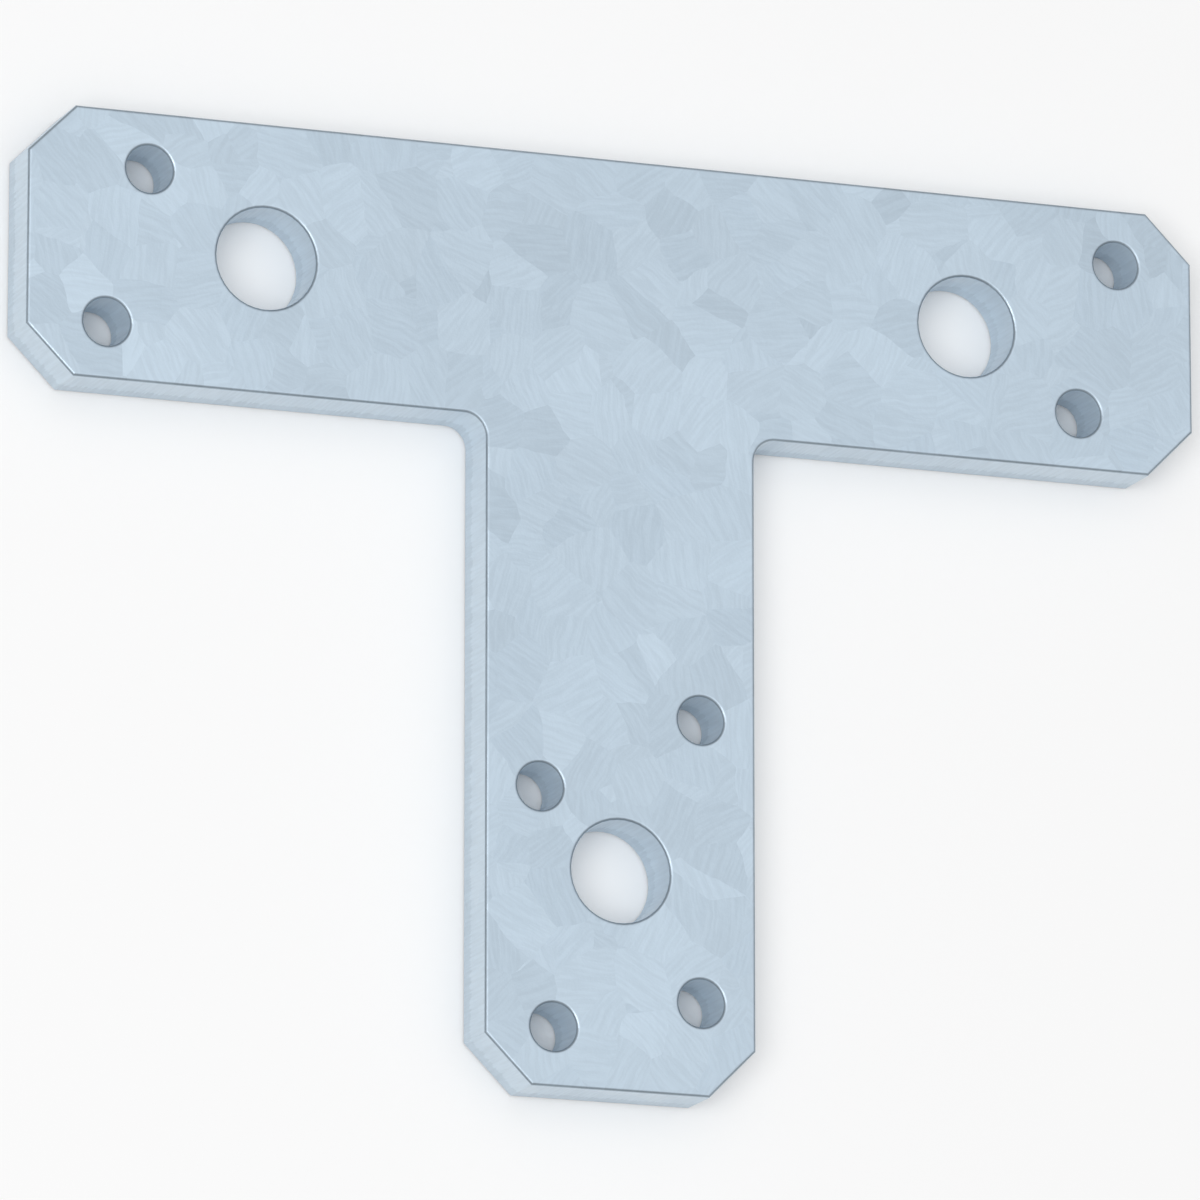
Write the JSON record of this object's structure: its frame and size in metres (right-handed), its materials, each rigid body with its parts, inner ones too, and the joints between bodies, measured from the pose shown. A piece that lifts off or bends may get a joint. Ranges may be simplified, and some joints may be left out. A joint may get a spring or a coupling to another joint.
{
  "type": "t plate bracket",
  "caption": "Flat steel T plate with clipped corners, a bolt hole in each arm and in the stem, and staggered nail holes, for joining a beam to a post.",
  "frame": {"origin": "where the centre lines of the bar and of the stem cross, on the back face that the plate lies on", "axes": "+X along the bar, the stem points to -Y, +Z out of the front face"},
  "size_m": [0.172, 0.131, 0.0087],
  "materials": {
    "galvanised_steel": "galvanised, pale blue-grey, satin"
  },
  "bodies": {
    "root": {"t_plate": "galvanised_steel"}
  },
  "joints": []
}
